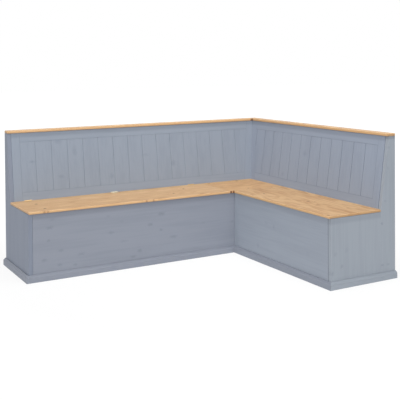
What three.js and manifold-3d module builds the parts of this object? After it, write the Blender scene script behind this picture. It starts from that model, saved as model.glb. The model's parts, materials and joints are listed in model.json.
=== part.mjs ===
import * as THREE from 'three';
import { mergeVertices } from 'three/examples/jsm/utils/BufferGeometryUtils.js';
import Module from 'manifold-3d';

const wasm = await Module();
wasm.setup();

// Lengths are in millimetres. Each leg of the bench is drawn in its own coordinates:
// u runs along the leg from the outer back corner, v runs forward from the wall, z runs up.

// Whole bench
const seatHeight = 463;
const longLegLength = 2125;
const shortLegLength = 1675;
const chestDepth = 540;
const fit = 0.3;
const overrun = 5;
const boardThickness = 18;

// End boards, shaped like an L whose upright leans with the back
const endThickness = 28;
const uprightSetback = 4;
const arrisChamfer = 2;

// Chest: its back carries the leaning back and is as thick
const backThickness = 20;
const floorThickness = 12;
const floorUnderside = 50;
const housingDepth = 6;
const partitionThickness = 22;
const postWidth = 45;
const postReach = 42;
const cleatSection = 22;

// Plinth
const plinthHeight = 48;
const plinthStandout = 20;
const plinthChamfer = 13;

// Seat
const seatThickness = 16;
const seatOverhang = 14;
const seatSeam = 0.8;
const hingeSideGap = 1;
const noseRadius = 5;
const seatCornerRadius = 7;
const cornerSeatReach = 29;
const battenWidth = 45;
const battenThickness = 20;
const hingedBattenInset = 12;
const liftOffBattenPlay = 2;
const hingedBattenShares = [0.3, 0.7];

// Leaning back
const wallFootDepth = 126;
const leanDegrees = 8.03;
const bottomRailHeight = 58;
const boardHeight = 352;
const topRailHeight = 65;
const stileWidth = 60;
const boardPitch = 120;
const longFirstGroove = 248.4;
const shortFirstGroove = 267.6;
const grooveHalfWidth = 2.5;
const tongueThickness = 6;
const tongueReach = 8;
const braceThickness = 25;
const longBraceShares = [0.36, 0.68];
const shortBraceShares = [0.56];

// Cap
const capThickness = 18;
const capDepth = 65;

// Hinges of the long lid
const hingeLength = 52;
const hingeSeamInset = 107;
const hingeEndInset = 97;
const barrelRadius = 4;
const barrelGap = 0.5;
const barrelRise = 1;
const pinRadius = 1.8;
const pinClearance = 0.06;
const leafThickness = 2;
const lidLeafWidth = 32;
const backLeafHeight = 30;
const knuckleShare = 0.25;

// Counts
const hingeCount = 3;
const circleSides = 24;
const roundingSteps = 4;

// Colours
const paint = { color: '#979daa', roughness: 0.55, metalness: 0 };
const oiledPine = { color: '#cfa981', roughness: 0.5, metalness: 0 };
const rawPine = { color: '#dcc19a', roughness: 0.7, metalness: 0 };
const brass = { color: '#c2a061', roughness: 0.35, metalness: 1 };

// Derived sizes
const lean = Math.tan(THREE.MathUtils.degToRad(leanDegrees));
const seatUnderside = seatHeight - seatThickness;
const supportTop = seatUnderside - fit;
const seatFront = chestDepth + seatOverhang;
const cornerSeatLength = seatFront + cornerSeatReach;
const panelRear = chestDepth - boardThickness;
const boardFoot = seatHeight + bottomRailHeight;
const boardHead = boardFoot + boardHeight;
const capUnderside = boardHead + topRailHeight;
const wallTop = capUnderside - fit;
const capTop = capUnderside + capThickness;
const chestBackRear = wallFootDepth - backThickness;
const plinthFront = chestDepth + plinthStandout;
const mitreGap = fit * Math.SQRT1_2;
const tongueRear = wallFootDepth - (backThickness + tongueThickness) / 2;
const tongueFront = tongueRear + tongueThickness;
const floorTop = floorUnderside + floorThickness;
const axisV = wallFootDepth + barrelGap + barrelRadius;
const axisZ = seatHeight + barrelRise;
const lidRear = wallFootDepth + hingeSideGap;

// The outer hinges keep their distance from the lid's ends, and the others are spread between them
const firstHinge = cornerSeatLength + hingeSeamInset;
const hingePitch = (longLegLength - endThickness - hingeEndInset - firstHinge) / (hingeCount - 1);
const hingePlaces = Array.from({ length: hingeCount }, (_, i) => firstHinge + hingePitch * i);

const halfLength = (longLegLength + plinthStandout) / 2;
const halfWidth = (shortLegLength + plinthStandout) / 2;

const longLeg = {
  name: 'long',
  end: 'left',
  length: longLegLength,
  firstGroove: longFirstGroove,
  panelStart: chestDepth + fit,
  backStart: chestBackRear,
  partitionMiddle: cornerSeatLength,
  partitionFront: panelRear - fit,
  lidStart: cornerSeatLength + seatSeam / 2,
  braceShares: longBraceShares,
  group: new THREE.Group(),
  mirrored: false,
};
const shortLeg = {
  name: 'short',
  end: 'right',
  length: shortLegLength,
  firstGroove: shortFirstGroove,
  panelStart: chestDepth + postReach + fit,
  backStart: wallFootDepth + fit,
  partitionMiddle: seatFront,
  partitionFront: chestDepth - postWidth - fit,
  lidStart: seatFront + seatSeam,
  braceShares: shortBraceShares,
  group: new THREE.Group(),
  mirrored: true,
};
const legs = [longLeg, shortLeg];

// The legs run towards -X and -Y, and the origin is on the floor, in the middle of the outer sizes
const bench = new THREE.Group();
const corner = new THREE.Group();
corner.rotation.z = Math.PI;
corner.position.set(halfLength, halfWidth, 0);
corner.add(longLeg.group, shortLeg.group);
bench.add(corner);

// The outline is given in the plane across the axis: (v, z) for u, (u, z) for v, (u, v) for z
const bases = {
  u: new THREE.Matrix4().set(0, 0, 1, 0, 1, 0, 0, 0, 0, 1, 0, 0, 0, 0, 0, 1),
  v: new THREE.Matrix4().set(0, 1, 0, 0, 0, 0, 1, 0, 1, 0, 0, 0, 0, 0, 0, 1),
  z: new THREE.Matrix4(),
};

// Leans a piece of the back: what stands upright at the seat moves towards the wall as it rises
const leanMatrix = new THREE.Matrix4()
  .makeShear(0, 0, 0, 0, 0, -lean)
  .setPosition(0, lean * seatHeight, 0);

function prism(axis, outline, from, to, leaning = false) {
  const points = outline.map(([a, b]) => (axis === 'v' ? new THREE.Vector2(b, a) : new THREE.Vector2(a, b)));
  const extrusion = { depth: to - from, bevelEnabled: false };
  const geometry = new THREE.ExtrudeGeometry(new THREE.Shape(points), extrusion);
  geometry.translate(0, 0, from);
  geometry.applyMatrix4(bases[axis]);
  if (leaning) geometry.applyMatrix4(leanMatrix);
  geometry.deleteAttribute('normal');
  geometry.deleteAttribute('uv');
  const closed = mergeVertices(geometry);
  const vertProperties = new Float32Array(closed.attributes.position.array);
  const triVerts = new Uint32Array(closed.index.array);
  return new wasm.Manifold(new wasm.Mesh({ numProp: 3, vertProperties, triVerts }));
}

function box(u0, u1, v0, v1, z0, z1) {
  return prism('z', rectangle(u0, u1, v0, v1), z0, z1);
}

function rectangle(a0, a1, b0, b1) {
  return [[a0, b0], [a1, b0], [a1, b1], [a0, b1]];
}

function circle(a, b, radius) {
  const angles = Array.from({ length: circleSides }, (_, i) => (2 * Math.PI * i) / circleSides);
  return angles.map((angle) => [a + radius * Math.cos(angle), b + radius * Math.sin(angle)]);
}

function hingeSpan(u, margin) {
  return [u - hingeLength / 2 - margin, u + hingeLength / 2 + margin];
}

// A square standing on its point, for chamfers and for the V between two boards
function diamond(a, b, half) {
  return [[a - half, b], [a, b - half], [a + half, b], [a, b + half]];
}

// A rectangle whose two corners at a1 are rounded
function nosed(a0, a1, b0, b1, radius) {
  const quarter = (b, start) => Array.from({ length: roundingSteps + 1 }, (_, i) => {
    const angle = start + (Math.PI / 2) * (i / roundingSteps);
    return [a1 - radius + radius * Math.cos(angle), b + radius * Math.sin(angle)];
  });
  return [...quarter(b0 + radius, -Math.PI / 2), ...quarter(b1 - radius, 0), [a0, b1], [a0, b0]];
}

// The short leg is drawn like the long one and mirrored in the upright diagonal plane
const diagonalMirror = new THREE.Matrix4().set(0, 1, 0, 0, 1, 0, 0, 0, 0, 0, 1, 0, 0, 0, 0, 1);

function add(name, finish, leg, solid, place = 0) {
  const { vertProperties, triVerts } = solid.getMesh();
  const geometry = new THREE.BufferGeometry();
  geometry.setAttribute('position', new THREE.BufferAttribute(new Float32Array(vertProperties), 3));
  const index = Array.from(triVerts);
  if (leg.mirrored) {
    geometry.applyMatrix4(diagonalMirror);
    index.reverse();
  }
  geometry.setIndex(index);
  const flat = geometry.toNonIndexed();
  flat.computeVertexNormals();
  const mesh = new THREE.Mesh(flat, new THREE.MeshStandardMaterial(finish));
  mesh.name = name;
  mesh.position.x = place;
  leg.group.add(mesh);
}

// Distance of the back's face from the wall at height z: on both legs, so it is the corner line too
function faceAt(z) {
  return wallFootDepth - lean * (z - seatHeight);
}

// Cuts the arris at the front, where an end board and a front panel meet
function withArris(board, u) {
  return board.subtract(prism('z', diamond(u, chestDepth, arrisChamfer), -overrun, supportTop + overrun));
}

function endBoard(leg) {
  const inside = leg.length - endThickness;
  const outline = [
    [0, 0],
    [chestDepth, 0],
    [chestDepth, supportTop],
    [wallFootDepth, supportTop],
    [wallFootDepth, seatHeight],
    [faceAt(seatHeight) - uprightSetback, seatHeight],
    [faceAt(wallTop) - uprightSetback, wallTop],
    [0, wallTop],
  ];
  let board = withArris(prism('u', outline, inside, leg.length), inside);
  const groove = [floorUnderside - fit, floorTop + fit];
  board = board.subtract(box(inside - overrun, inside + housingDepth, wallFootDepth, panelRear, ...groove));
  add(`${leg.end}_end_board`, paint, leg, board);
}

function frontPanel(leg) {
  const end = leg.length - endThickness - fit;
  let panel = withArris(box(leg.panelStart, end, panelRear, chestDepth, 0, supportTop), end + fit);
  const groove = [panelRear - overrun, panelRear + housingDepth, floorUnderside - fit, floorTop + fit];
  panel = panel.subtract(box(leg.partitionMiddle, end + overrun, ...groove));
  add(`${leg.name}_front_panel`, paint, leg, panel);
}

function chestBack(leg) {
  const end = leg.length - endThickness - fit;
  let back = box(leg.backStart, end, chestBackRear, wallFootDepth, 0, seatHeight - fit);
  const height = [floorUnderside - fit, floorTop + fit];
  const groove = [wallFootDepth - housingDepth, wallFootDepth + overrun, ...height];
  back = back.subtract(box(leg.partitionMiddle, end + overrun, ...groove));
  if (leg === longLeg) {
    for (const u of hingePlaces) {
      const [start, stop] = hingeSpan(u, fit);
      const pocketRear = wallFootDepth - leafThickness - fit;
      const pocketFoot = axisZ - backLeafHeight - fit;
      back = back.subtract(box(start, stop, pocketRear, wallFootDepth + overrun, pocketFoot, axisZ));
    }
  }
  add(`${leg.name}_chest_back`, rawPine, leg, back);
}

function partition(leg) {
  const rear = wallFootDepth + fit;
  const start = leg.partitionMiddle - partitionThickness / 2;
  const stop = start + partitionThickness;
  const groove = [floorUnderside - fit, floorTop + fit];
  const board = box(start, stop, rear, leg.partitionFront, 0, supportTop)
    .subtract(box(stop - housingDepth, stop + overrun, rear - overrun, panelRear, ...groove));
  add(`${leg.name}_partition`, rawPine, leg, board);
}

function chestFloor(leg) {
  const tongue = housingDepth - fit;
  const start = leg.partitionMiddle + partitionThickness / 2;
  const stop = leg.length - endThickness;
  const postFace = chestDepth - postWidth - fit;
  const postEnd = chestDepth + postReach + fit;
  const height = [floorUnderside, floorTop];
  const lengthwise = box(start - tongue, stop + tongue, wallFootDepth + fit, panelRear - fit, ...height);
  const across = box(start + fit, stop - fit, wallFootDepth - tongue, panelRear + tongue, ...height);
  const postNotch = box(0, postEnd, postFace, chestDepth, floorUnderside - overrun, floorTop + overrun);
  add(`${leg.name}_chest_floor`, rawPine, leg, lengthwise.add(across).subtract(postNotch));
}

function frontPlinth(leg) {
  const rear = chestDepth + fit;
  const outer = leg.length + plinthStandout;
  const section = [
    [rear, 0],
    [plinthFront, 0],
    [plinthFront, plinthHeight - plinthChamfer],
    [plinthFront - plinthChamfer, plinthHeight],
    [rear, plinthHeight],
  ];
  const plan = [
    [rear + mitreGap, rear],
    [plinthFront + mitreGap, plinthFront],
    [outer - mitreGap, plinthFront],
    [leg.length + fit - mitreGap, rear],
  ];
  const board = prism('u', section, rear, outer).intersect(prism('z', plan, 0, plinthHeight));
  add(`${leg.name}_front_plinth`, paint, leg, board);
}

function endPlinth(leg) {
  const inner = leg.length + fit;
  const outer = leg.length + plinthStandout;
  const section = [
    [inner, 0],
    [outer, 0],
    [outer, plinthHeight - plinthChamfer],
    [outer - plinthChamfer, plinthHeight],
    [inner, plinthHeight],
  ];
  const plan = [
    [inner, 0],
    [outer, 0],
    [outer, plinthFront - mitreGap],
    [inner, chestDepth + fit - mitreGap],
  ];
  const board = prism('v', section, 0, plinthFront).intersect(prism('z', plan, 0, plinthHeight));
  add(`${leg.end}_end_plinth`, paint, leg, board);
}

// A seat board with a rounded nose along the front and at its free end
function seatBoard(start, stop, rear) {
  const nose = nosed(rear, seatFront, seatUnderside, seatHeight, noseRadius);
  const tip = nosed(start, stop, seatUnderside, seatHeight, noseRadius);
  const plan = nosed(rear, seatFront, start, stop, seatCornerRadius).map(([v, u]) => [u, v]);
  return prism('u', nose, start, stop)
    .intersect(prism('v', tip, rear, seatFront))
    .intersect(prism('z', plan, seatUnderside, seatHeight));
}

function longLid() {
  let lid = seatBoard(longLeg.lidStart, longLeg.length, lidRear);
  const reach = barrelRadius + barrelGap;
  const leafPocket = [lidRear - overrun, axisV + lidLeafWidth + fit, seatHeight - leafThickness - fit];
  const barrelPocket = [lidRear - overrun, axisV + reach, axisZ - reach];
  for (const u of hingePlaces) {
    const span = hingeSpan(u, fit);
    lid = lid.subtract(box(...span, ...leafPocket, seatHeight + overrun));
    lid = lid.subtract(box(...span, ...barrelPocket, seatHeight + overrun));
  }
  add('long_seat_lid', oiledPine, longLeg, lid);
  const inside = longLeg.length - endThickness;
  const first = cornerSeatLength;
  hingedBattenShares.forEach((share, i) => {
    const start = first + (inside - first) * share;
    const ends = [wallFootDepth + hingedBattenInset, panelRear - hingedBattenInset];
    batten(longLeg, i, start, ends);
  });
}

function shortLid() {
  add('short_seat_lid', oiledPine, shortLeg, seatBoard(shortLeg.lidStart, shortLeg.length, lidRear));
  const starts = [
    chestDepth + postReach + liftOffBattenPlay,
    shortLeg.length - endThickness - liftOffBattenPlay - battenWidth,
  ];
  starts.forEach((start, i) => {
    batten(shortLeg, i, start, [wallFootDepth + liftOffBattenPlay, panelRear - liftOffBattenPlay]);
  });
}

function batten(leg, i, start, ends) {
  const bottom = supportTop - battenThickness;
  const bar = box(start, start + battenWidth, ...ends, bottom, supportTop);
  add(`${leg.name}_lid_batten_${i + 1}`, rawPine, leg, bar);
}

// The fixed seat over the corner: its nose is rounded only where it meets the open front
function cornerSeat() {
  const rear = wallFootDepth + fit;
  const stop = cornerSeatLength - seatSeam / 2;
  const nose = nosed(rear, seatFront, seatUnderside, seatHeight, noseRadius);
  const plan = nosed(rear, seatFront, rear, stop, seatCornerRadius).map(([v, u]) => [u, v]);
  const body = prism('u', nose, rear, stop).intersect(prism('z', plan, seatUnderside, seatHeight));
  const square = box(rear, seatFront, rear, seatFront, seatUnderside, seatHeight);
  add('corner_seat', oiledPine, longLeg, body.add(square));
}

function cornerPost() {
  const start = chestDepth - postWidth;
  const post = box(start, chestDepth + postReach, start, chestDepth, 0, supportTop);
  add('inner_corner_post', paint, shortLeg, post);
}

function cornerCleat() {
  const start = wallFootDepth + fit;
  const stop = cornerSeatLength - partitionThickness / 2 - fit;
  const cleat = box(start, stop, start, start + cleatSection, supportTop - cleatSection, supportTop);
  add('corner_seat_cleat', rawPine, longLeg, cleat);
}

// A leaning piece of the back between two edges, each a function of the height
function wallPlate(low, high, z0, z1, rear, front) {
  return prism('v', [[low(z0), z0], [high(z0), z0], [high(z1), z1], [low(z1), z1]], rear, front, true);
}

// Cuts a piece to the upright plane through the corner, where the other leg's piece meets it
function mitred(leg, solid, depth, z0, z1) {
  const plan = [[mitreGap, 0], [leg.length, 0], [leg.length, depth], [depth + mitreGap, depth]];
  return solid.intersect(prism('z', plan, z0, z1));
}

const upright = (u) => () => u;
const shifted = (edge, by) => (z) => edge(z) + by;
const faces = [chestBackRear, wallFootDepth];
const tongue = [tongueRear, tongueFront];
const slot = [tongueRear - fit, tongueFront + fit];
const slotReach = tongueReach + fit;
const slotFoot = boardFoot - slotReach;
const slotHead = boardHead + slotReach;

// The corner stile keeps one width all the way up, so its far edge leans with the corner line
const cornerStileEdge = (z) => faceAt(z) + stileWidth;

function stiles(leg) {
  const corner = wallPlate(upright(0), cornerStileEdge, seatHeight, wallTop, ...faces);
  const near = shifted(cornerStileEdge, -slotReach);
  const cornerSlot = wallPlate(near, shifted(cornerStileEdge, overrun), slotFoot, slotHead, ...slot);
  const cut = mitred(leg, corner.subtract(cornerSlot), wallFootDepth, seatHeight, wallTop);
  add(`${leg.name}_corner_stile`, paint, leg, cut);

  const inside = leg.length - endThickness;
  const edge = inside - stileWidth;
  const end = wallPlate(upright(edge), upright(inside - fit), seatHeight, wallTop, ...faces);
  const endSlot = wallPlate(upright(edge - overrun), upright(edge + slotReach), slotFoot, slotHead, ...slot);
  add(`${leg.name}_end_stile`, paint, leg, end.subtract(endSlot));
}

// Rails stand between the stiles and are grooved for the ends of the boards
function rails(leg) {
  const edge = leg.length - endThickness - stileWidth;
  const ends = [shifted(cornerStileEdge, fit), upright(edge - fit)];
  const past = [shifted(cornerStileEdge, -overrun), upright(edge + overrun)];
  const bottom = wallPlate(...ends, seatHeight, boardFoot, ...faces);
  const bottomSlot = wallPlate(...past, slotFoot, boardFoot + overrun, ...slot);
  add(`${leg.name}_bottom_rail`, paint, leg, bottom.subtract(bottomSlot));
  const top = wallPlate(...ends, boardHead, wallTop, ...faces);
  const topSlot = wallPlate(...past, boardHead - overrun, slotHead, ...slot);
  add(`${leg.name}_top_rail`, paint, leg, top.subtract(topSlot));
}

// Boards are glued in pairs. Each pair has a tongue on its far edge for the next pair's slot,
// and the first one a second tongue for the corner stile, along the edge that leans.
function boards(leg) {
  const lastEdge = leg.length - endThickness - stileWidth;
  const count = 1 + Math.ceil((lastEdge - leg.firstGroove) / boardPitch);
  const grooves = Array.from({ length: count - 1 }, (_, i) => upright(leg.firstGroove + boardPitch * i));
  const edges = [cornerStileEdge, ...grooves, upright(lastEdge)];
  const height = [boardFoot + fit, boardHead - fit];
  const past = [boardFoot - overrun, boardHead + overrun];
  const stubs = [boardFoot - tongueReach, boardHead + tongueReach];

  for (let i = 0; i < count; i += 2) {
    const isFirst = i === 0;
    const isLast = i + 2 >= count;
    const low = edges[i];
    const high = edges[Math.min(i + 2, count)];
    const near = shifted(low, isFirst ? fit : fit / 2);
    const far = shifted(high, isLast ? -fit : -fit / 2);
    const tongueStart = isFirst ? shifted(low, -tongueReach) : near;
    const stubStart = shifted(low, isFirst ? fit : slotReach);
    let pair = wallPlate(near, far, ...height, ...faces)
      .add(wallPlate(tongueStart, shifted(high, tongueReach), ...height, ...tongue))
      .add(wallPlate(stubStart, far, ...stubs, ...tongue));
    if (!isFirst) {
      pair = pair.subtract(wallPlate(shifted(low, -overrun), shifted(low, slotReach), ...past, ...slot));
    }
    for (const groove of grooves.filter((edge) => [low, edges[i + 1], high].includes(edge))) {
      pair = pair.subtract(prism('z', diamond(groove(), wallFootDepth, grooveHalfWidth), ...past, true));
    }
    add(`${leg.name}_back_boards_${i / 2 + 1}`, paint, leg, pair);
  }
}

// Braces stand on the floor behind the back and carry the cap
function braces(leg) {
  const rear = [chestBackRear - fit, faceAt(wallTop) - backThickness - fit];
  const outline = [[0, 0], [rear[0], 0], [rear[0], seatHeight], [rear[1], wallTop], [0, wallTop]];
  leg.braceShares.forEach((share, i) => {
    const start = leg.length * share;
    add(`${leg.name}_back_brace_${i + 1}`, rawPine, leg, prism('u', outline, start, start + braceThickness));
  });
}

function cap(leg) {
  const nose = nosed(0, capDepth, capUnderside, capTop, noseRadius);
  const tip = nosed(0, leg.length, capUnderside, capTop, noseRadius);
  const board = prism('u', nose, 0, leg.length).intersect(prism('v', tip, 0, capDepth));
  add(`${leg.name}_cap`, oiledPine, leg, mitred(leg, board, capDepth, capUnderside, capTop));
}

// The hinges are drawn at u = 0: the outer knuckles belong to the chest, the middle one to the lid
function hinges() {
  const [start, stop] = hingeSpan(0, 0);
  const knuckle = hingeLength * knuckleShare;
  const middle = [start + knuckle + fit, stop - knuckle - fit];
  const barrel = circle(axisV, axisZ, barrelRadius);
  const bore = prism('u', circle(axisV, axisZ, pinRadius + pinClearance), start - overrun, stop + overrun);
  const leafRear = wallFootDepth - leafThickness;
  const leafTop = seatHeight - fit;
  const lidLeafHeight = [seatHeight - leafThickness, seatHeight];

  let backLeaf = box(start, stop, leafRear, wallFootDepth, axisZ - backLeafHeight, leafTop);
  for (const span of [[start, start + knuckle], [stop - knuckle, stop]]) {
    backLeaf = backLeaf.add(box(...span, leafRear, axisV, leafTop - leafThickness, leafTop));
    backLeaf = backLeaf.add(prism('u', barrel, ...span));
  }
  backLeaf = backLeaf.subtract(bore);
  const lidLeaf = box(start, stop, axisV + barrelRadius + barrelGap, axisV + lidLeafWidth, ...lidLeafHeight)
    .add(box(...middle, axisV, axisV + lidLeafWidth, ...lidLeafHeight))
    .add(prism('u', barrel, ...middle))
    .subtract(bore);
  const pin = prism('u', circle(axisV, axisZ, pinRadius), start, stop);

  hingePlaces.forEach((u, i) => {
    add(`hinge_${i + 1}_back_leaf`, brass, longLeg, backLeaf, u);
    add(`hinge_${i + 1}_lid_leaf`, brass, longLeg, lidLeaf, u);
    add(`hinge_${i + 1}_pin`, brass, longLeg, pin, u);
  });
}

for (const leg of legs) {
  endBoard(leg);
  frontPanel(leg);
  chestBack(leg);
  partition(leg);
  chestFloor(leg);
  frontPlinth(leg);
  endPlinth(leg);
  stiles(leg);
  rails(leg);
  boards(leg);
  braces(leg);
  cap(leg);
}
cornerPost();
cornerCleat();
cornerSeat();
longLid();
shortLid();
hinges();

export default bench;
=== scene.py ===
"""Dresses a corner storage bench: blue-grey painted pine, oiled pine seats and caps, brass hinges."""

from __future__ import annotations

import json
import logging
import math
from collections.abc import Sequence
from dataclasses import dataclass
from enum import Enum
from typing import Any

import bmesh
import bpy
import numpy as np
from mathutils import Matrix, Vector

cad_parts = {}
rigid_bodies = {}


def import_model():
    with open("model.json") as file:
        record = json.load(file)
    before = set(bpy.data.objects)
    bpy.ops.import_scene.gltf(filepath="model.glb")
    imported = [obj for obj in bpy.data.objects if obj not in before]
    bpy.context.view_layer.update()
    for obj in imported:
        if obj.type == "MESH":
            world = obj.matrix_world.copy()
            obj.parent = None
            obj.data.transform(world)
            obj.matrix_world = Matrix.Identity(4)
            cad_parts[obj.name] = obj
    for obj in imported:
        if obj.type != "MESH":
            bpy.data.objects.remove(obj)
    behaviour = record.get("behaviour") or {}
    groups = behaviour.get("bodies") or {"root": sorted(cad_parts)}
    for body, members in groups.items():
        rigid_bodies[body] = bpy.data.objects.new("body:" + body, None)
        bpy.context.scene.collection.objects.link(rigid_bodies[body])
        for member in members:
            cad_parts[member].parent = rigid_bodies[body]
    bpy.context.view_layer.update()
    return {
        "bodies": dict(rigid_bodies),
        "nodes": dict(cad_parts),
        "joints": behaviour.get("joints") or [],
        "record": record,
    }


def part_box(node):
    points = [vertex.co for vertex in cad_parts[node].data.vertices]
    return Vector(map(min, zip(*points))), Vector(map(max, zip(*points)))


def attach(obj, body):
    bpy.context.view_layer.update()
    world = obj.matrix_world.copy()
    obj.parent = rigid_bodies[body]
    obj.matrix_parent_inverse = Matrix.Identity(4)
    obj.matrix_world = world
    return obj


LOG = logging.getLogger("corner_bench")
MM = 0.001
WHITE = (1.0, 1.0, 1.0, 1.0)

# The bench's outer back corner in the row frame, in millimetres
CORNER = (1072.5, 847.5)
# Distances from that corner, and the thickness of an end board
LONG_LENGTH = 2125.0
SHORT_LENGTH = 1675.0
END_THICKNESS = 28.0
FACE_LINE = 126.0
# Heights above the floor
PLINTH_HEIGHT = 48.0
SEAT_UNDERSIDE = 447.0
SEAT_HEIGHT = 463.0
CAP_UNDERSIDE = 938.0
# A pattern's limit lies this far past the surface that it ends at
SLACK = 0.5
# The rim of a knot wanders in and out about once in this distance
RIM_PERIOD = 14.0
# Loose triangles are joined where their corners lie this close together
WELD_DISTANCE = 0.01
# Only edges that turn by more than this, in degrees, are softened
SHARP_ANGLE = 40.0
# Points this close are one point, and an edge this short has collapsed
MERGE_DISTANCE = 0.002
COLLAPSED_LENGTH = 0.001


class Grain(Enum):
    """The way the wood's fibres run, as the order of the axes along, across and through a board."""

    ALONG_X_FLAT = ("X", "Y", "Z")
    ALONG_Y_FLAT = ("Y", "X", "Z")
    ALONG_X_UPRIGHT = ("X", "Z", "Y")
    ALONG_Y_UPRIGHT = ("Y", "Z", "X")
    ALONG_Z_FACING_Y = ("Z", "X", "Y")
    ALONG_Z_FACING_X = ("Z", "Y", "X")


@dataclass(frozen=True)
class Knot:
    """A knot's place along and across its board, from the outer back corner, and its radius.

    All three are in millimetres. The stretch is how many times longer it is along the grain than
    across, and the depth its darkness.
    """

    along: float
    across: float
    radius: float
    stretch: float = 1.0
    depth: float = 1.0


@dataclass(frozen=True)
class Seam:
    """A painted shadow line where two boards meet, or one that is repeated at a pitch, in millimetres.

    At the height of the seat it runs at the given distance from the outer back corner, across the
    boards or along the named axis. It moves by the slope for each millimetre further up. A level seam
    has a height instead.
    """

    across: float = 0.0
    axis: str = ""
    slope: float = 0.0
    pitch: float = 5000.0
    height: float = 0.0
    strength: float = 0.5


@dataclass(frozen=True)
class PaintedShade:
    """A painted shade: a strip of paint that is darker under an overhang, or along the top of a plinth.

    It stands in for the shade that falls there. Its upper half is darkest and its lower half fades
    downwards, in millimetres above the floor. It starts at a distance along X from the outer back
    corner.
    """

    top: float
    fade: float
    share: float
    start: float = 0.0


def linear(code: str) -> tuple[float, float, float, float]:
    """Turns an sRGB hex colour into linear RGBA.

    Args:
        code: Six hex digits after a hash sign.

    Returns:
        The linear colour with alpha 1.
    """
    values = [int(code[i : i + 2], 16) / 255 for i in (1, 3, 5)]
    r, g, b = (v / 12.92 if v <= 0.04045 else ((v + 0.055) / 1.055) ** 2.4 for v in values)
    return r, g, b, 1.0


class Recipe:
    """The node tree of a material or of the world, filled by one function that adds a node."""

    def __init__(self, owner: bpy.types.Material | bpy.types.World) -> None:
        """Empties the owner's node tree.

        Args:
            owner: The new material or world.
        """
        self.owner = owner
        self.owner.use_nodes = True
        self.tree = owner.node_tree
        self.tree.nodes.clear()

    def add(
        self, kind: str, inputs: dict[Any, Any] | Sequence[Any] = (), **settings: Any
    ) -> bpy.types.Node:
        """Adds a node with its settings, its socket values and its links.

        Args:
            kind: The node's type, without the ShaderNode in front.
            inputs: The sockets' values in their order, or by name or number. A socket is linked, and so
                is the first output of a node.
            **settings: Attributes of the node itself.

        Returns:
            The new node.
        """
        node = self.tree.nodes.new("ShaderNode" + kind)
        for name, value in settings.items():
            setattr(node, name, value)
        pairs = inputs.items() if isinstance(inputs, dict) else enumerate(inputs)
        for key, value in pairs:
            source = value.outputs[0] if isinstance(value, bpy.types.Node) else value
            if isinstance(source, bpy.types.NodeSocket):
                self.tree.links.new(source, node.inputs[key])
            else:
                node.inputs[key].default_value = source
        return node

    def axes(self, kind: str = "Object") -> bpy.types.bpy_prop_collection:
        """Gives the X, Y and Z sockets of the Object or the Normal coordinates."""
        return self.add("SeparateXYZ", [self.add("TexCoord").outputs[kind]]).outputs

    def streaks(
        self, place: bpy.types.Node, length: float, width: float, detail: float
    ) -> bpy.types.Node:
        """Adds noise that is stretched along the grain.

        Args:
            place: The distances along, across and through the board, as a vector.
            length: The noise's period along the grain in millimetres.
            width: Its period across and through, in millimetres.
            detail: How many finer layers it has.

        Returns:
            The noise, whose first output runs from 0 to 1.
        """
        scale = (1 / (length * MM), 1 / (width * MM), 1 / (width * MM))
        stretched = self.add("Mapping", {"Vector": place, "Scale": scale})
        return self.add("TexNoise", {"Vector": stretched, "Scale": 1.0, "Detail": detail})

    def layered(self, base: str, layers: list[tuple[bpy.types.Node, str]]) -> bpy.types.NodeSocket:
        """Lays colours over a base colour, each by a share that varies over the surface.

        Args:
            base: The base colour's hex code.
            layers: For each layer, the node that gives its share and its hex code.

        Returns:
            The socket of the colour on top.
        """
        colour: Any = linear(base)
        for share, code in layers:
            mix = self.add("Mix", {0: share, 6: colour, 7: linear(code)}, data_type="RGBA")
            colour = mix.outputs[2]
        return colour

    def seen_or_mirrored(self) -> bpy.types.Node:
        """Gives 1 for the camera's rays and for rays in gloss, and 0 for all others."""
        path = self.add("LightPath").outputs
        return self.add("Math", [path["Is Camera Ray"], path["Is Glossy Ray"]], operation="MAXIMUM")

    def finish(self, shader: bpy.types.Node) -> Any:
        """Links the shader to the output.

        Args:
            shader: The last shader.

        Returns:
            The material or the world.
        """
        kind = "OutputWorld" if isinstance(self.owner, bpy.types.World) else "OutputMaterial"
        self.add(kind, {"Surface": shader})
        return self.owner


def board_place(grain: Grain, knot: Knot) -> tuple[float, float]:
    """Turns a knot's place, measured from the outer back corner, into row frame metres.

    Args:
        grain: The board's grain, which says which axes along and across are.
        knot: The knot.

    Returns:
        The distances along and across in metres.
    """
    origin = {"X": CORNER[0], "Y": CORNER[1], "Z": 0.0}
    along, across, _ = grain.value
    return (origin[along] + knot.along) * MM, (origin[across] + knot.across) * MM


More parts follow.
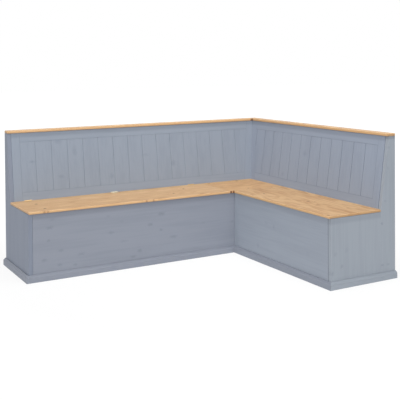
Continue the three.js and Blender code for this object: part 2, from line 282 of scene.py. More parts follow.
@dataclass(frozen=True)
class PaintedPine:
    """Pine under two coats of matt wall paint, brushed along the grain.

    To the eye it is an even blue-grey with hardly any sheen. Faint streaks follow the grain, the
    knots have bled through as soft darker blotches, and a thin painted shadow darkens the seams and the
    strips under overhangs.
    """

    colour: str
    shade: str
    knot_colour: str = "#7f8691"
    painted_shadow_colour: str = "#4a505c"
    roughness: float = 0.55
    ior: float = 1.48
    specular: float = 0.25
    streak_length: float = 300.0
    streak_width: float = 13.0
    cloud_length: float = 700.0
    cloud_width: float = 80.0
    brush_length: float = 90.0
    brush_width: float = 0.9
    shade_span: tuple[float, float] = (0.85, 1.3)
    knot_core: float = 0.1
    knot_wobble: float = 9.0
    seam_width: float = 2.6
    seam_core: float = 0.5
    bump: float = 0.12
    bump_strength: float = 0.35

    def material(
        self,
        name: str,
        grain: Grain,
        knots: tuple[Knot, ...],
        seams: tuple[Seam, ...],
        shade_strips: tuple[PaintedShade, ...],
    ) -> bpy.types.Material:
        """Builds the paint for one board or panel.

        Args:
            name: The material's name.
            grain: The direction of the fibres under the paint.
            knots: The knots that show through.
            seams: The seams that show as thin dark lines.
            shade_strips: The strips of painted shade, under an overhang or along a plinth's top.

        Returns:
            The material.
        """
        recipe = Recipe(bpy.data.materials.new(name))
        axes = recipe.axes()
        along, across, through = (axes[axis] for axis in grain.value)
        place = recipe.add("CombineXYZ", [along, across, through])
        figure = recipe.streaks(place, self.streak_length, self.streak_width, 3.0)
        cloud = recipe.streaks(place, self.cloud_length, self.cloud_width, 1.0)
        brush = recipe.streaks(place, self.brush_length, self.brush_width, 2.0)
        both = recipe.add("Math", [figure, cloud], operation="ADD")
        tone = recipe.add("MapRange", [both, *self.shade_span], interpolation_type="SMOOTHSTEP")
        layers = [(tone, self.shade)]
        if knots:
            stain = stained(recipe, grain, (along, across), knots, self.knot_core, self.knot_wobble)
            layers.append((stain, self.knot_colour))
        layers += [(self.painted_shade_strip(recipe, shade_strip), self.painted_shadow_colour) for shade_strip in shade_strips]
        layers += [(self.seam_line(recipe, grain, seam), self.painted_shadow_colour) for seam in seams]
        relief = recipe.add("Math", [figure, brush], operation="ADD")
        bumps = {"Height": relief, "Strength": self.bump_strength, "Distance": self.bump * MM}
        paint = {
            "Base Color": recipe.layered(self.colour, layers),
            "Roughness": self.roughness,
            "IOR": self.ior,
            "Specular IOR Level": self.specular,
            "Normal": recipe.add("Bump", bumps),
        }
        return recipe.finish(recipe.add("BsdfPrincipled", paint))

    def painted_shade_strip(self, recipe: Recipe, shade_strip: PaintedShade) -> bpy.types.Node:
        """Adds one strip of painted shade: its share in the upper half, fading to 0 at its lower end.

        Args:
            recipe: The material being built.
            shade_strip: The strip of painted shade.

        Returns:
            The node of the strip's value, which is 0 above its top and before its start.
        """
        place = recipe.axes()
        low, high = (shade_strip.top - shade_strip.fade) * MM, (shade_strip.top - shade_strip.fade / 2) * MM
        limits = [place["Z"], low, high, 0.0, shade_strip.share]
        under = recipe.add("MapRange", limits, interpolation_type="SMOOTHSTEP")
        below = recipe.add("Math", [place["Z"], (shade_strip.top + SLACK) * MM], operation="LESS_THAN")
        start = (CORNER[0] - shade_strip.start + SLACK) * MM
        along = recipe.add("Math", [place["X"], start], operation="LESS_THAN")
        inside = recipe.add("Math", [below, along], operation="MULTIPLY")
        return recipe.add("Math", [under, inside], operation="MULTIPLY")

    def seam_line(self, recipe: Recipe, grain: Grain, seam: Seam) -> bpy.types.Node:
        """Adds one seam's painted shadow line: its strength in the middle, fading to 0 at its half width.

        The distance from the line is the place across the boards, less the seam's own place at that
        height, folded back at every half pitch.

        Args:
            recipe: The material being built.
            grain: The grain of the boards, whose second axis lies across them.
            seam: The seam.

        Returns:
            The node of the line's value.
        """
        place = recipe.axes()
        if seam.height:
            offset = recipe.add("Math", [place["Z"], seam.height * MM], operation="SUBTRACT")
        else:
            axis = seam.axis or grain.value[1]
            origin = {"X": CORNER[0], "Y": CORNER[1]}[axis]
            level = (origin - seam.across + seam.slope * SEAT_HEIGHT) * MM
            line = recipe.add("Math", [place["Z"], -seam.slope, level], operation="MULTIPLY_ADD")
            aside = recipe.add("Math", [place[axis], line], operation="SUBTRACT")
            folds = recipe.add("Math", [aside, seam.pitch * MM], operation="DIVIDE")
            whole = recipe.add("Math", [folds], operation="ROUND")
            offset = recipe.add("Math", [whole, -seam.pitch * MM, aside], operation="MULTIPLY_ADD")
        away = recipe.add("Math", [offset], operation="ABSOLUTE")
        limits = [away, self.seam_width * MM, self.seam_core * MM, 0.0, seam.strength]
        return recipe.add("MapRange", limits, interpolation_type="SMOOTHSTEP")


def stained(
    recipe: Recipe,
    grain: Grain,
    axes: tuple[bpy.types.NodeSocket, bpy.types.NodeSocket],
    knots: tuple[Knot, ...],
    core: float,
    wobble: float,
) -> bpy.types.Node:
    """Adds the knots' spots: the depth in a knot's middle, fading to 0 at its uneven rim.

    Args:
        recipe: The material being built.
        grain: The board's grain.
        axes: The sockets of the distances along and across.
        knots: The knots.
        core: The share of the radius at which the fade starts.
        wobble: How far the rim wanders, in millimetres.

    Returns:
        The node of the largest spot value at each point.
    """
    flat = recipe.add("CombineXYZ", [*axes])
    rough = {"Vector": flat, "Scale": 1 / (RIM_PERIOD * MM), "Detail": 2.0}
    noise = recipe.add("TexNoise", rough, noise_dimensions="2D").outputs["Color"]
    reach = wobble * MM
    swing = [noise, (reach * 2, reach * 2, 0.0), (-reach, -reach, 0.0)]
    shift = recipe.add("VectorMath", swing, operation="MULTIPLY_ADD")
    moved = recipe.add("VectorMath", [flat, shift], operation="ADD")
    total: bpy.types.Node | float = 0.0
    for knot in knots:
        along, across = board_place(grain, knot)
        squeeze = (1 / knot.stretch, 1.0, 0.0)
        back = (-along / knot.stretch, -across, 0.0)
        offset = recipe.add("VectorMath", [moved, squeeze, back], operation="MULTIPLY_ADD")
        away = recipe.add("VectorMath", [offset], operation="LENGTH").outputs["Value"]
        edge = knot.radius * MM
        limits = [away, edge, edge * core, 0.0, knot.depth]
        spot = recipe.add("MapRange", limits, interpolation_type="SMOOTHSTEP")
        total = recipe.add("Math", [total, spot], operation="MAXIMUM")
    return total


@dataclass(frozen=True)
class Pine:
    """Planed pine: pale early wood, darker late wood, and boards glued up from staves.

    The rings are cylinders about each stave's own pith, which lies below the board and wanders
    along it. So the faces show long flames and the ends show arcs, as sawn pine does. Lengths are in
    millimetres, and what shakes or widens the rings is counted in rings.
    """

    early: str
    late: str
    knot_colour: str
    roughness: float
    gloss: float = 0.08
    ior: float = 1.5
    stave_width: float = 95.0
    stave_shift: float = 7000.0
    stave_contrast: float = 0.3
    ring_spacing: float = 5.5
    ring_strength: float = 0.75
    ring_rise: tuple[float, float] = (0.25, 0.9)
    ring_fall: tuple[float, float] = (0.93, 1.0)
    pith_depth: float = 55.0
    wander_length: float = 900.0
    wander: float = 14.0
    fibre_length: float = 60.0
    fibre_width: float = 1.1
    fibre_strength: float = 0.25
    shake_length: float = 300.0
    shake_width: float = 30.0
    shake_rings: float = 2.2
    halo_reach: float = 4.0
    halo_rings: float = 2.5
    knot_core: float = 0.5
    knot_wobble: float = 3.0
    tone_shift: float = -0.2
    end_facing: tuple[float, float] = (0.6, 0.9)
    end_strength: float = 0.3
    bump: float = 0.15
    bump_strength: float = 0.3

    def material(
        self, name: str, grain: Grain, knots: tuple[Knot, ...], seed: float
    ) -> bpy.types.Material:
        """Builds the wood for one board.

        Args:
            name: The material's name.
            grain: The direction of the fibres.
            knots: The knots that show.
            seed: Moves the figure, so that two boards differ.

        Returns:
            The material.
        """
        recipe = Recipe(bpy.data.materials.new(name))
        add = recipe.add
        axes = recipe.axes()
        along, across, through = (axes[axis] for axis in grain.value)

        # Each stave has its own random number, taken from its place across the board
        width = self.stave_width * MM
        moved = add("Math", [across, seed], operation="ADD")
        count = add("Math", [add("Math", [moved, width], operation="DIVIDE")], operation="FLOOR")
        label = add("Math", [count, seed], operation="ADD")
        own = add("TexWhiteNoise", {"W": label}, noise_dimensions="1D").outputs["Value"]
        near_side = add("Math", [count, width], operation="MULTIPLY")
        local = add("Math", [moved, near_side], operation="SUBTRACT")
        jump = add("Math", [own, self.stave_shift * MM], operation="MULTIPLY")
        shifted = add("Math", [along, jump], operation="ADD")

        # The pith wanders slowly along the stave, sideways and in depth
        far = add("Math", [shifted, self.wander_length * MM], operation="DIVIDE")
        slow = {"Vector": add("CombineXYZ", [far, own]), "Scale": 1.0, "Detail": 2.0}
        sides = add("SeparateXYZ", [add("TexNoise", slow).outputs["Color"]]).outputs
        reach = self.wander * MM
        middle = add("Math", [local, width / 2 + reach * 2], operation="SUBTRACT")
        side = add("Math", [sides["X"], reach * 4, middle], operation="MULTIPLY_ADD")
        below = self.pith_depth * MM - SEAT_HEIGHT * MM - reach * 2 + seed
        depth = add("Math", [through, below], operation="ADD")
        deep = add("Math", [sides["Y"], reach * 4, depth], operation="MULTIPLY_ADD")
        squares = [add("Math", [leg, leg], operation="MULTIPLY") for leg in (side, deep)]
        radius = add("Math", [add("Math", squares, operation="ADD")], operation="SQRT")

        # Fine fibres streak the surface, coarser ones shake the rings, and the rings part round a knot
        ring = self.ring_spacing * MM
        place = add("CombineXYZ", [shifted, across, through])
        fibre = recipe.streaks(place, self.fibre_length, self.fibre_width, 3.0)
        shake = recipe.streaks(place, self.shake_length, self.shake_width, 2.0)
        radius = add("Math", [shake, ring * self.shake_rings, radius], operation="MULTIPLY_ADD")
        if knots:
            wide = tuple(Knot(k.along, k.across, k.radius * self.halo_reach) for k in knots)
            halo = stained(recipe, grain, (along, across), wide, 0.0, self.knot_wobble)
            radius = add("Math", [halo, ring * self.halo_rings, radius], operation="MULTIPLY_ADD")

        # Late wood sets in slowly over a ring and stops sharply at its end
        phase = add("Math", [add("Math", [radius, ring], operation="DIVIDE")], operation="FRACT")
        rise = add("MapRange", [phase, *self.ring_rise], interpolation_type="SMOOTHSTEP")
        fall = add("MapRange", [phase, *self.ring_fall, 1.0, 0.0])
        late = add("Math", [rise, fall], operation="MULTIPLY")
        streak = add("Math", [fibre, self.fibre_strength], operation="MULTIPLY")
        figure = add("Math", [late, self.ring_strength, streak], operation="MULTIPLY_ADD")
        stave = add("Math", [own, self.stave_contrast, self.tone_shift], operation="MULTIPLY_ADD")
        tone = add("Math", [figure, stave], operation="ADD")

        # Sawn ends drink more oil, so they are darker. They face along the grain
        facing = add("Math", [recipe.axes("Normal")[grain.value[0]]], operation="ABSOLUTE")
        sawn = add("MapRange", [facing, *self.end_facing, 0.0, self.end_strength])
        layers = [(tone, self.late), (sawn, self.knot_colour)]
        if knots:
            spots = stained(recipe, grain, (along, across), knots, self.knot_core, self.knot_wobble)
            layers.append((spots, self.knot_colour))
        bumps = {"Height": fibre, "Strength": self.bump_strength, "Distance": self.bump * MM}
        shine = [tone, 0.0, 1.0, self.roughness, self.roughness - self.gloss]
        wood = {
            "Base Color": recipe.layered(self.early, layers),
            "Roughness": add("MapRange", shine),
            "IOR": self.ior,
            "Normal": add("Bump", bumps),
        }
        return recipe.finish(add("BsdfPrincipled", wood))


# Oil deepens the late wood to honey brown and leaves a low sheen
# Each seat has a tone of its own, partly the wood's and partly painted light and shade for the light it
# gets
OILED_PINE = Pine("#dbb78a", "#b98b5b", "#6e4526", 0.5)
CORNER_PINE = Pine("#d5ac7b", "#b38351", "#6e4526", 0.5)
SHORT_PINE = Pine("#d1ac7e", "#b08152", "#6e4526", 0.5)
# Inside the chests the pine is planed and bare: paler, flatter and dry
BARE_PINE = Pine("#e6cda6", "#c49f6d", "#8c5f38", 0.68)


@dataclass(frozen=True)
class Brass:
    """Rolled brass of a cabinet hinge, dulled by air and handling. A paler colour gives a painted
    highlight.
    """

    colour: str = "#d2b487"
    roughness: float = 0.5
    smear: tuple[float, float] = (-0.08, 0.1)
    scratch: float = 2.0

    def material(self, name: str) -> bpy.types.Material:
        """Builds the metal, whose roughness varies over a few millimetres as fingers leave it.

        Args:
            name: The material's name.

        Returns:
            The material.
        """
        recipe = Recipe(bpy.data.materials.new(name))
        place = recipe.add("TexCoord").outputs["Object"]
        fine = {"Vector": place, "Scale": 1 / (self.scratch * MM), "Detail": 3.0}
        limits = [self.roughness + share for share in self.smear]
        metal = {
            "Base Color": linear(self.colour),
            "Metallic": 1.0,
            "Roughness": recipe.add("MapRange", [recipe.add("TexNoise", fine), 0.0, 1.0, *limits]),
        }
        return recipe.finish(recipe.add("BsdfPrincipled", metal))


def dress(frame: dict[str, Any], node: str, material: bpy.types.Material, bevel: float = 0.0) -> None:
    """Gives a CAD node its material and softens its arrises.

    Args:
        node: The node's name.
        material: Its finish.
        bevel: The width of the softened arris in millimetres, or 0 for none.
    """
    piece = frame["nodes"][node]
    piece.data.materials.clear()
    piece.data.materials.append(material)
    if bevel:
        weld = piece.modifiers.new("weld", "WELD")
        weld.merge_threshold = WELD_DISTANCE * MM
        soft = piece.modifiers.new("arris", "BEVEL")
        soft.width = bevel * MM
        soft.segments = 2
        soft.limit_method = "ANGLE"
        soft.angle_limit = math.radians(SHARP_ANGLE)
        soft.use_clamp_overlap = True
    LOG.info("%s dressed as %s", node, material.name)


@dataclass(frozen=True)
class LeaningBack:
    """What sets one leg's leaning back apart from the other's.

    The length runs from the outer back corner to the leg's end, in millimetres. The grooves are the
    painted shadow lines drawn between the boards, and the rail line is the strength of the painted shadow
    along a rail.
    """

    leg: str
    length: float
    rails: Grain
    boards: Grain
    paint: PaintedPine
    knots: tuple[Knot, ...]
    rail_line: float
    grooves: tuple[Seam, ...] = ()


@dataclass
class Paintwork:
    """The painted pieces: end boards, chest fronts, post, plinth and the leaning backs.

    Each face has its own tone of the paint, lighter or darker to make up for the light that it gets:
    painted light and shade. Lengths are in millimetres.
    """

    frame: dict[str, Any]
    # Tones by face: painted light and shade, set for how much light each face gets
    front: PaintedPine = PaintedPine("#888d98", "#848994", "#7c818c")
    side: PaintedPine = PaintedPine("#9299a4", "#8e95a0", "#808792")
    right_end: PaintedPine = PaintedPine("#949ba4", "#9097a0", "#828992")
    left_end: PaintedPine = PaintedPine("#7f8694", "#7b8290")
    long_back: PaintedPine = PaintedPine("#89929f", "#858e9b", "#79828f")
    short_back: PaintedPine = PaintedPine("#8d96a5", "#8992a1", "#7f8897")
    long_front_knots: tuple[Knot, ...] = (
        Knot(-1982, 346, 16, 2.4), Knot(-1963, 398, 15, 2.0, 0.5), Knot(-1989, 260, 15, 1.2),
        Knot(-1907, 187, 16, 2.0, 0.7), Knot(-1761, 145, 16, 2.6, 0.6), Knot(-2019, 134, 17, 1.6, 0.8),
        Knot(-1912, 91, 15, 1.7, 0.9), Knot(-1807, 79, 13, 1.6, 0.8), Knot(-1245, 284, 17, 1.8, 0.9),
        Knot(-1157, 352, 18, 2.2), Knot(-1160, 237, 15, 1.3, 0.9), Knot(-1058, 176, 17, 2.8, 0.8),
        Knot(-1329, 109, 19, 1.3), Knot(-1379, 74, 15, 2.2, 0.9), Knot(-1545, 262, 15, 2.2, 0.6),
        Knot(-1448, 191, 12, 4.0, 0.5), Knot(-1563, 377, 12, 2.0, 0.4), Knot(-1466, 330, 16, 1.2, 0.35),
        Knot(-814, 248, 14, 1.6, 0.4), Knot(-564, 230, 12, 2.0, 0.5),
    )
    short_front_knots: tuple[Knot, ...] = (
        Knot(-1050, 282, 24, 0.8, 0.45), Knot(-854, 113, 24, 1.0, 0.4), Knot(-957, 292, 22, 1.4, 0.2),
        Knot(-1439, 175, 22, 1.4, 0.2),
    )
    right_end_knots: tuple[Knot, ...] = (
        Knot(370, -115, 17, 0.6, 0.8), Knot(97, -115, 22, 0.6, 0.7), Knot(97, -63, 19, 0.7, 0.5),
        Knot(135, -452, 20, 1.0, 0.6), Knot(219, -506, 20, 1.0, 0.3), Knot(99, -532, 20, 1.2, 0.6),
        Knot(235, -415, 26, 1.0, 0.25), Knot(729, -63, 18, 0.8, 0.3), Knot(866, -56, 19, 0.8, 0.4),
        Knot(515, -86, 19, 0.6, 0.5),
    )
    long_back_knots: tuple[Knot, ...] = (
        Knot(729, -1953, 14, 0.5), Knot(730, -1953, 38, 0.4, 0.5), Knot(867, -1754, 42, 0.8, 0.5),
        Knot(781, -1634, 22, 2.2, 0.5), Knot(611, -1743, 32, 0.6, 0.5), Knot(584, -1354, 24, 1.4, 0.5),
        Knot(721, -1063, 42, 0.4, 0.3), Knot(641, -832, 32, 1.0, 0.5), Knot(833, -838, 34, 1.0, 0.25),
    )
    short_back_knots: tuple[Knot, ...] = (Knot(739, -813, 30, 1.0, 0.5), Knot(556, -562, 24, 1.0, 0.5))
    # Where the short back's grooves lie, and the strengths of the painted shadow lines in them and beside
    # the stiles
    first_groove: float = 267.6
    groove_pitch: float = 120.0
    groove_line: float = 0.75
    stile_width: float = 60.0
    stile_line: float = 0.15
    lean: float = 0.1411
    rail_heights: tuple[float, float] = (521.0, 873.0)
    # How far the painted shade reaches under the seat, under the cap and down from a plinth's top, and how
    # dark it is under the cap
    under_seat: float = 50.0
    under_cap: float = 42.0
    cap_shadow: float = 0.25
    end_under_cap: float = 26.0
    end_cap_shadow: float = 0.3
    plinth_top: float = 15.0
    front_arris: float = 0.8
    rail_arris: float = 0.6

    def dress(self) -> None:
        """Dresses every painted node, each board with its grain's own direction."""
        self.dress_fronts()
        self.dress_plinths()
        self.dress_backs()

    def dress_fronts(self) -> None:
        """Dresses the chest fronts, the post between them and the end boards.

        Each has its paint, grain, knots and seams, and the share of shadow under the seat.
        """
        # A painted shadow line along the joint between the short front and the right end board
        joint = (Seam(across=SHORT_LENGTH - END_THICKNESS, axis="Y", strength=1.0),)
        fronts = {
            "long_front_panel": (self.front, Grain.ALONG_X_UPRIGHT, self.long_front_knots, (), 0.2),
            "short_front_panel": (self.side, Grain.ALONG_Y_UPRIGHT, self.short_front_knots, joint, 0.1),
            "right_end_board": (self.right_end, Grain.ALONG_Z_FACING_Y, self.right_end_knots, joint, 0.15),
            "left_end_board": (self.left_end, Grain.ALONG_Z_FACING_X, (), (), 0.0),
            "inner_corner_post": (self.side, Grain.ALONG_Z_FACING_X, (), (), 0.1),
        }
        for node, (paint, grain, knots, seams, share) in fronts.items():
            shade_strips = (PaintedShade(SEAT_UNDERSIDE, self.under_seat, share, FACE_LINE),) if share else ()
            if node == "right_end_board":
                shade_strips += (PaintedShade(CAP_UNDERSIDE, self.end_under_cap, self.end_cap_shadow),)
            finish = paint.material("paint_" + node, grain, knots, seams, shade_strips)
            dress(self.frame, node, finish, self.front_arris)

    def dress_plinths(self) -> None:
        """Dresses the plinths, each with its paint, grain and the share of shadow along its top."""
        plinths = {
            "long_front_plinth": (self.front, Grain.ALONG_X_UPRIGHT, 0.14),
            "right_end_plinth": (self.right_end, Grain.ALONG_X_UPRIGHT, 0.03),
            "short_front_plinth": (self.front, Grain.ALONG_Y_UPRIGHT, 0.12),
            "left_end_plinth": (self.front, Grain.ALONG_Y_UPRIGHT, 0.0),
        }
        for node, (paint, grain, share) in plinths.items():
            shade_strips = (PaintedShade(PLINTH_HEIGHT, self.plinth_top, share),) if share else ()
            dress(self.frame, node, paint.material("paint_" + node, grain, (), (), shade_strips))

    def dress_backs(self) -> None:
        """Dresses the two leaning backs.

        Only the short one's grooves need a drawn line of painted shadow, because the long one's show
        enough shade.
        """
        along_x = LeaningBack(
            "long", LONG_LENGTH, Grain.ALONG_X_UPRIGHT, Grain.ALONG_Z_FACING_Y,
            self.long_back, self.long_back_knots, rail_line=0.2,
        )
        grooves = (Seam(across=self.first_groove, pitch=self.groove_pitch, strength=self.groove_line),)
        along_y = LeaningBack(
            "short", SHORT_LENGTH, Grain.ALONG_Y_UPRIGHT, Grain.ALONG_Z_FACING_X,
            self.short_back, self.short_back_knots, rail_line=0.3, grooves=grooves,
        )
        self.dress_back(along_x)
        self.dress_back(along_y)

    def dress_back(self, back: LeaningBack) -> None:
        """Dresses one leaning back, whose seams are drawn as thin dark lines of painted shadow.

        Args:
            back: The back's leg, grains, paint, knots and lines.
        """
        levels = tuple(Seam(height=height, strength=back.rail_line) for height in self.rail_heights)
        under_cap = (PaintedShade(CAP_UNDERSIDE, self.under_cap, self.cap_shadow),)
        uprights = (
            Seam(across=FACE_LINE + self.stile_width, slope=-self.lean, strength=self.stile_line),
            Seam(across=back.length - END_THICKNESS - self.stile_width, strength=self.stile_line),
        )
        pieces = {
            "bottom_rail": (back.rails, (), levels, ()),
            "top_rail": (back.rails, (), levels, under_cap),
            "back_boards": (back.boards, back.knots, back.grooves + uprights + levels, ()),
            "corner_stile": (back.boards, (), uprights, under_cap),
            "end_stile": (back.boards, (), uprights, under_cap),
        }
        for piece, (grain, knots, seams, shade_strips) in pieces.items():
            name = f"{back.leg}_{piece}"
            finish = back.paint.material("paint_" + name, grain, knots, seams, shade_strips)
            for node in sorted(self.frame["nodes"]):
                if node.startswith(name):
                    dress(self.frame, node, finish, self.rail_arris if "rail" in piece else 0.0)


@dataclass
class Woodwork:
    """The oiled seats and caps, and the bare boards inside and behind."""

    frame: dict[str, Any]
    long_seat_knots: tuple[Knot, ...] = (
        Knot(-1991, -286, 13), Knot(-1989, -470, 13), Knot(-2020, -556, 10, 1.0, 0.45),
        Knot(-1996, -556, 9, 1.0, 0.45), Knot(-1278, -552, 9, 1.0, 0.5),
        Knot(-1223, -550, 10, 1.0, 0.5), Knot(-990, -409, 12), Knot(-833, -268, 13),
    )
    # The last two are dark spots on the seat's front edge, the last right at the inner corner
    corner_knots: tuple[Knot, ...] = (
        Knot(-536, -150, 12), Knot(-282, -160, 15), Knot(-396, -510, 9), Knot(-577, -550, 10),
        Knot(-556, -551, 10),
    )
    short_seat_knots: tuple[Knot, ...] = (
        Knot(-1191, -345, 13), Knot(-767, -427, 10), Knot(-1640, -530, 10),
    )
    arris: float = 0.5

    def dress(self) -> None:
        """Dresses the seats and caps, then every bare board."""
        self.dress_seats()
        self.dress_bare_boards()

    def dress_seats(self) -> None:
        """Dresses the seats and caps, each with its pine, grain and knots and a figure of its own."""
        seats = {
            "long_seat_lid": (OILED_PINE, Grain.ALONG_X_FLAT, self.long_seat_knots, 0.013),
            "corner_seat": (CORNER_PINE, Grain.ALONG_X_FLAT, self.corner_knots, 0.131),
            "short_seat_lid": (SHORT_PINE, Grain.ALONG_Y_FLAT, self.short_seat_knots, 0.277),
            # Each cap has one dark spot on its front edge, by the mitre
            "long_cap": (OILED_PINE, Grain.ALONG_X_FLAT, (Knot(-71, -64, 12, 1.2, 0.75),), 0.351),
            "short_cap": (SHORT_PINE, Grain.ALONG_Y_FLAT, (Knot(-66, -64, 12, 1.2, 0.75),), 0.423),
        }
        for node, (pine, grain, knots, seed) in seats.items():
            dress(self.frame, node, pine.material("oiled_" + node, grain, knots, seed))

    def dress_bare_boards(self) -> None:
        """Dresses the boards inside and behind, whose grain turns with the leg."""
        bare = {
            "lid_batten": (Grain.ALONG_Y_FLAT, 1.0),
            "partition": (Grain.ALONG_Z_FACING_X, 0.9),
            "chest_back": (Grain.ALONG_X_UPRIGHT, 1.0),
            "chest_floor": (Grain.ALONG_X_FLAT, 1.1),
            "brace": (Grain.ALONG_Z_FACING_X, 0.5),
        }
        for word, (grain, seed) in bare.items():
            for leg, run in (("long", grain), ("short", self.turned(grain))):
                wood = BARE_PINE.material(f"bare_{leg}_{word}", run, (), seed)
                for node in sorted(self.frame["nodes"]):
                    if word in node and node.startswith(leg):
                        dress(self.frame, node, wood, self.arris)
        cleat = BARE_PINE.material("bare_cleat", Grain.ALONG_X_FLAT, (), 0.5)
        dress(self.frame, "corner_seat_cleat", cleat, self.arris)

    @staticmethod
    def turned(grain: Grain) -> Grain:
        """Swaps X and Y, because the short leg's boards run the other way."""
        swap = {"X": "Y", "Y": "X", "Z": "Z"}
        return Grain(tuple(swap[axis] for axis in grain.value))


@dataclass
class Hinges:
    """Three brass butt hinges of the long lid, with three slotted screws in each leaf.

    Lengths are in millimetres. A leaf's rows are the distances of the middle screw and of the outer
    two from its lower or front edge, and the turn of one slot to the next is in radians. The slot
    reaches to a share of the radius, and the rim starts at one.
    """

    frame: dict[str, Any]
    brass: Brass = Brass()
    # The middle hinge gets paler brass: a painted highlight where it catches the light
    painted_glint_brass: Brass = Brass("#d9cdb4", 0.4)
    head_radius: float = 3.6
    slot_width: float = 0.9
    slot_depth: float = 0.8
    slot_reach: float = 0.97
    slot_wall: float = 0.03
    slot_turn: float = 0.9
    screw_spread: float = 17.0
    lid_rows: tuple[float, float] = (19.0, 9.0)
    back_rows: tuple[float, float] = (17.0, 8.0)
    crown: float = 0.35
    countersink: float = 1.6
    rim_start: float = 0.999
    least_thickness: float = 0.2
    rounding: float = 1e-6
    proud: float = 0.05
    steps: int = 8

    def dress(self) -> None:
        """Dresses the leaves and pins, and adds the screws."""
        metal = self.brass.material("dulled_brass")
        glint_metal = self.painted_glint_brass.material("painted_glint_brass")
        for node in sorted(self.frame["nodes"]):
            if node.startswith("hinge_"):
                # The middle hinge's paler brass is a painted highlight
                dress(self.frame, node, glint_metal if node.startswith("hinge_2") else metal)
        tops, fronts = self.screw_places()
        self.screws("lid_leaf_screws", tops, "long_lid", metal)
        self.screws("back_leaf_screws", fronts, "chest", metal)

    def screw_places(self) -> tuple[list[Matrix], list[Matrix]]:
        """Works out where the screws sit: three in a triangle on each leaf.

        Returns:
            The places on the lid's leaves and on the back leaves, in millimetres.
        """
        tops, fronts = [], []
        leaf_top = SEAT_HEIGHT + self.proud
        leaf_front = CORNER[1] - FACE_LINE - self.proud
        turn = Matrix.Rotation(math.pi / 2, 4, "X")
        for i in (1, 2, 3):
            low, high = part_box(f"hinge_{i}_lid_leaf")
            middle = (low.x + high.x) / 2 / MM
            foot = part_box(f"hinge_{i}_back_leaf")[0].z / MM
            for side in (-1, 0, 1):
                x = middle + side * self.screw_spread
                y = low.y / MM + self.lid_rows[abs(side)]
                z = foot + self.back_rows[abs(side)]
                tops.append(Matrix.Translation((x, y, leaf_top)))
                fronts.append(Matrix.Translation((x, leaf_front, z)) @ turn)
        return tops, fronts

    def screws(self, name: str, places: list[Matrix], body: str, metal: bpy.types.Material) -> None:
        """Builds a set of slotted screw heads as one mesh.

        Args:
            name: The piece's name.
            places: Each head's place and turn, in millimetres.
            body: The CAD body it rides on.
            metal: Its finish.
        """
        vertices, faces = self.head()
        all_vertices, all_faces = [], []
        for i, place in enumerate(places):
            turned = place @ Matrix.Rotation(self.slot_turn * i, 4, "Z")
            rotation = np.array(turned.to_3x3())
            all_vertices.append(vertices @ rotation.T + np.array(turned.translation))
            all_faces.append(faces + len(vertices) * i)
        mesh = bpy.data.meshes.new(name)
        points = np.concatenate(all_vertices) * MM
        mesh.from_pydata(points.tolist(), [], np.concatenate(all_faces).tolist())
        tidy(mesh)
        mesh.materials.append(metal)
        piece = bpy.data.objects.new(name, mesh)
        bpy.context.scene.collection.objects.link(piece)
        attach(piece, body)
        LOG.info("%s built with %d heads", name, len(places))

    def head(self) -> tuple[np.ndarray, np.ndarray]:
        """Works out one slotted head about the origin, its axis along Z.

        Columns cross the head at chosen x, with two pairs close beside the slot's walls. On each, y runs
        between the rim's two sides: y = t * sqrt(R^2 - x^2). The top is a low crown, lowered by the
        slot's depth between its walls, and the underside is a cone. Both meet at the rim.

        Returns:
            The vertices and the quads.
        """
        radius, half = self.head_radius, self.slot_width / 2
        wall = half + self.slot_wall
        outer = np.sin(np.linspace(np.arcsin(wall / radius), np.pi / 2, self.steps)) * radius
        x = np.concatenate([-outer[::-1], [-half, 0.0, half], outer])
        t = np.sin(np.linspace(-np.pi / 2, np.pi / 2, 2 * self.steps + 1))
        grid_x = np.repeat(x[:, None], len(t), axis=1)
        grid_y = t[None, :] * np.sqrt(np.maximum(radius**2 - grid_x**2, 0.0))
        share = np.sqrt(grid_x**2 + grid_y**2) / radius
        inside = (np.abs(grid_x) < half + self.rounding) & (share < self.slot_reach)
        top = self.crown * (1 - share**2) - np.where(inside, self.slot_depth, 0.0)
        bottom = -self.countersink * (1 - share)
        rim = share > self.rim_start
        rows, columns = grid_x.shape
        under = np.minimum(bottom, top - self.least_thickness)
        upper = np.stack([grid_x, grid_y, np.where(rim, 0.0, top)], axis=-1).reshape(-1, 3)
        lower = np.stack([grid_x, grid_y, np.where(rim, 0.0, under)], axis=-1).reshape(-1, 3)
        index = np.arange(rows * columns).reshape(rows, columns)
        corners = [index[:-1, :-1], index[1:, :-1], index[1:, 1:], index[:-1, 1:]]
        quads = np.stack(corners, axis=-1).reshape(-1, 4)
        return np.concatenate([upper, lower]), np.concatenate([quads, quads[:, ::-1] + rows * columns])


def tidy(mesh: bpy.types.Mesh) -> None:
    """Merges doubled points, drops what has collapsed and turns the faces outwards.

    Args:
        mesh: The mesh to mend.
    """
    work = bmesh.new()
    work.from_mesh(mesh)
    bmesh.ops.remove_doubles(work, verts=work.verts, dist=MERGE_DISTANCE * MM)
    bmesh.ops.dissolve_degenerate(work, edges=work.edges, dist=COLLAPSED_LENGTH * MM)
    bmesh.ops.recalc_face_normals(work, faces=work.faces)
    work.to_mesh(mesh)
    work.free()


@dataclass(frozen=True)
class SoftBox:
    """A square lamp: its place in metres, the length of its side and its power."""

    name: str
    place: tuple[float, float, float]
    size: float
    watts: float


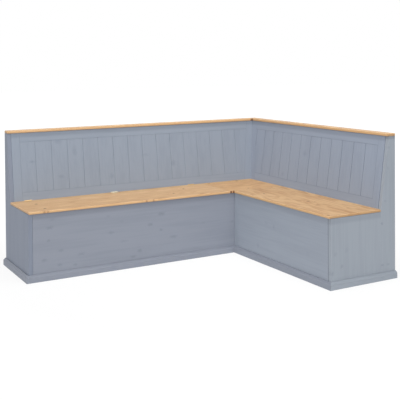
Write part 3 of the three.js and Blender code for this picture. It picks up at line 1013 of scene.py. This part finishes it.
@dataclass
class Studio:
    """The camera at the photograph's angle, soft light mostly from above and a white floor."""

    camera_place: tuple[float, float, float] = (-3612.3, -5456.2, 1448.0)
    yaw: float = 29.915
    pitch: float = 1.305
    roll: float = -0.386
    focal_pixels: float = 771.7
    principal: tuple[float, float] = (205.8, 77.4)
    image: float = 400.0
    sensor: float = 36.0
    far_clip: float = 100.0
    aim: tuple[float, float, float] = (0.0, 0.0, 0.4)
    fill: float = 0.3
    floor_reach: float = 30.0
    paper: tuple[float, float, float, float] = (0.8, 0.8, 0.8, 1.0)
    shaded_paper: tuple[float, float, float, float] = (0.14, 0.14, 0.14, 1.0)
    glow_reach: tuple[float, float] = (1.2, 4.0)
    glow: tuple[float, float] = (0.86, 1.0)
    boxes: tuple[SoftBox, ...] = (
        SoftBox("front", (-6.0, -23.2, 8.8), 16.0, 3320.0),
        SoftBox("far_left", (-36.0, -9.0, 13.0), 24.0, 5800.0),
        SoftBox("overhead", (-0.3, -1.0, 6.0), 5.0, 55.0),
        SoftBox("over_the_seats", (0.2, -0.8, 3.5), 2.5, 35.0),
        SoftBox("back_top", (0.6, 0.4, 5.0), 4.0, 32.0),
    )

    def build(self) -> None:
        """Makes the camera, the lamps, the world and the floor."""
        self.camera()
        self.lamps()
        self.world()
        self.floor()
        bpy.context.scene.view_settings.view_transform = "Standard"

    def camera(self) -> None:
        """Places the camera: it looks along yaw and pitch, and its shift moves the horizon up."""
        yaw, pitch, roll = (math.radians(v) for v in (self.yaw, self.pitch, self.roll))
        ahead = math.cos(pitch)
        forward = Vector((math.sin(yaw) * ahead, math.cos(yaw) * ahead, -math.sin(pitch)))
        level = Vector((math.cos(yaw), -math.sin(yaw), 0.0))
        up = level.cross(forward)
        right = level * math.cos(roll) + up * math.sin(roll)
        top = -level * math.sin(roll) + up * math.cos(roll)
        data = bpy.data.cameras.new("photo_camera")
        data.sensor_width = self.sensor
        data.lens = self.focal_pixels / self.image * self.sensor
        data.shift_x = 0.5 - self.principal[0] / self.image
        data.shift_y = self.principal[1] / self.image - 0.5
        data.clip_end = self.far_clip
        camera = bpy.data.objects.new("photo_camera", data)
        bpy.context.scene.collection.objects.link(camera)
        turn = Matrix((right, top, -forward)).transposed().to_4x4()
        place = Vector((*CORNER, 0.0)) + Vector(self.camera_place)
        camera.matrix_world = Matrix.Translation(place * MM) @ turn
        bpy.context.scene.camera = camera

    def lamps(self) -> None:
        """Hangs the soft boxes, each aimed at the middle of the bench."""
        for box in self.boxes:
            data = bpy.data.lights.new(box.name, "AREA")
            data.size = box.size
            data.energy = box.watts
            lamp = bpy.data.objects.new(box.name, data)
            lamp.visible_camera = False
            bpy.context.scene.collection.objects.link(lamp)
            ahead = Vector(self.aim) - Vector(box.place)
            turn = ahead.to_track_quat("-Z", "Y").to_matrix().to_4x4()
            lamp.matrix_world = Matrix.Translation(box.place) @ turn

    def world(self) -> None:
        """Fills the room with even light, and shows white to the camera and in gloss."""
        recipe = Recipe(bpy.data.worlds.new("studio"))
        fill = recipe.add("Background", {"Color": WHITE, "Strength": self.fill})
        white = recipe.add("Background", {"Color": WHITE})
        mixed = recipe.add("MixShader", [recipe.seen_or_mirrored(), fill, white])
        bpy.context.scene.world = recipe.finish(mixed)

    def floor(self) -> None:
        """Lays a white floor that keeps a faint shadow: a white sheet with a little glow to the camera."""
        near, far = -self.floor_reach, self.floor_reach
        corners = [(near, near, 0.0), (far, near, 0.0), (far, far, 0.0), (near, far, 0.0)]
        mesh = bpy.data.meshes.new("floor")
        mesh.from_pydata(corners, [], [(0, 1, 2, 3)])
        recipe = Recipe(bpy.data.materials.new("white_paper_floor"))
        place = recipe.add("TexCoord").outputs["Object"]
        away = recipe.add("VectorMath", [place], operation="LENGTH").outputs["Value"]
        strength = recipe.add("MapRange", [away, *self.glow_reach, *self.glow])
        faint = recipe.add("BsdfDiffuse", {"Color": self.shaded_paper})
        glow = recipe.add("Emission", {"Color": WHITE, "Strength": strength})
        seen = recipe.add("AddShader", [faint, glow])
        paper = recipe.add("BsdfDiffuse", {"Color": self.paper})
        mixed = recipe.add("MixShader", [recipe.seen_or_mirrored(), paper, seen])
        mesh.materials.append(recipe.finish(mixed))
        floor = bpy.data.objects.new("floor", mesh)
        bpy.context.scene.collection.objects.link(floor)


def main() -> None:
    """Loads the frame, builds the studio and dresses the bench."""
    logging.basicConfig(level=logging.INFO, format="%(name)s: %(message)s")
    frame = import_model()
    Studio().build()
    Paintwork(frame).dress()
    Woodwork(frame).dress()
    Hinges(frame).dress()


if __name__ == "__main__":
    main()
